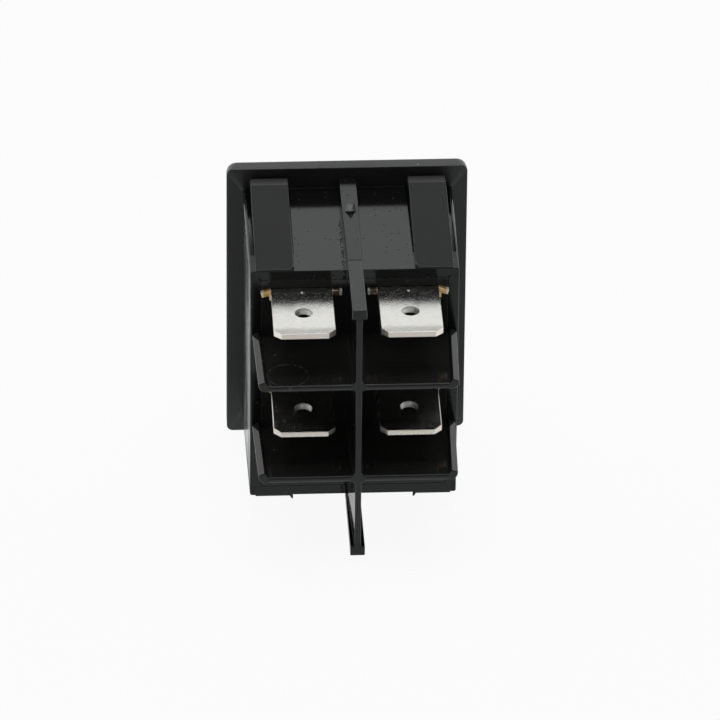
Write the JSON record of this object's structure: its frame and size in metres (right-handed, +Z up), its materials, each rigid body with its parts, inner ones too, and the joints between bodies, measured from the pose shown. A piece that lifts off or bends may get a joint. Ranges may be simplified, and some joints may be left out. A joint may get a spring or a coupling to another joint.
{
  "type": "panel rocker switch",
  "caption": "Snap-in panel rocker switch with a black rocker and bezel, sprung side wings, a finned base and flat quick-connect tabs.",
  "frame": {"origin": "centre of the panel cut-out, in the plane of the bezel's rear face", "axes": "-Y out of the panel's rear towards the terminals, +Z up the long side of the switch towards the switched terminals, +X to the right seen from the rear"},
  "size_m": [0.025, 0.0327, 0.032],
  "materials": {
    "housing_plastic": "fine satin moulding",
    "base_plastic": "polished moulding",
    "rocker_plastic": "polished moulding",
    "plunger_plastic": "natural nylon",
    "spring_steel": "drawn wire",
    "contact_brass": "stamped",
    "contact_silver": "headed silver alloy",
    "plated_brass": "nickel-plated, satin"
  },
  "bodies": {
    "body": {"housing": "housing_plastic", "base": "base_plastic", "common_terminal_left": "plated_brass", "common_terminal_right": "plated_brass", "switched_terminal_left": "plated_brass", "switched_terminal_right": "plated_brass", "fixed_contact_left": "contact_silver", "fixed_contact_right": "contact_silver"},
    "rocker": {"rocker": "rocker_plastic", "spring_left": "spring_steel", "spring_right": "spring_steel"},
    "plunger_left": {"plunger_left": "plunger_plastic"},
    "plunger_right": {"plunger_right": "plunger_plastic"},
    "lever_left": {"contact_lever_left": "contact_brass", "moving_contact_left": "contact_silver"},
    "lever_right": {"contact_lever_right": "contact_brass", "moving_contact_right": "contact_silver"}
  },
  "joints": [
    {"name": "rocker_tilt", "type": "hinge", "parent": "body", "child": "rocker", "pos_m": [0, -0.003, 0], "axis": [-1, 0, 0], "range_deg": [0, 22]},
    {"name": "plunger_slide_left", "type": "slide", "parent": "rocker", "child": "plunger_left", "axis": [0, 0.9816, 0.1908], "range_m": [0, 0.001], "stiffness_N_per_m": 300, "springref_m": -0.002, "deforming": ["spring_left"]},
    {"name": "plunger_slide_right", "type": "slide", "parent": "rocker", "child": "plunger_right", "axis": [0, 0.9816, 0.1908], "range_m": [0, 0.001], "stiffness_N_per_m": 300, "springref_m": -0.002, "deforming": ["spring_right"]},
    {"name": "lever_rock_left", "type": "hinge", "parent": "body", "child": "lever_left", "pos_m": [-0.00545, -0.0122, 0], "axis": [1, 0, 0], "range_deg": [0, 16]},
    {"name": "lever_rock_right", "type": "hinge", "parent": "body", "child": "lever_right", "pos_m": [0.00545, -0.0122, 0], "axis": [1, 0, 0], "range_deg": [0, 16]}
  ],
  "couplings": [
    {"joint": "lever_rock_left", "follows": "rocker_tilt", "ratio": 0.72727},
    {"joint": "lever_rock_right", "follows": "rocker_tilt", "ratio": 0.72727}
  ]
}
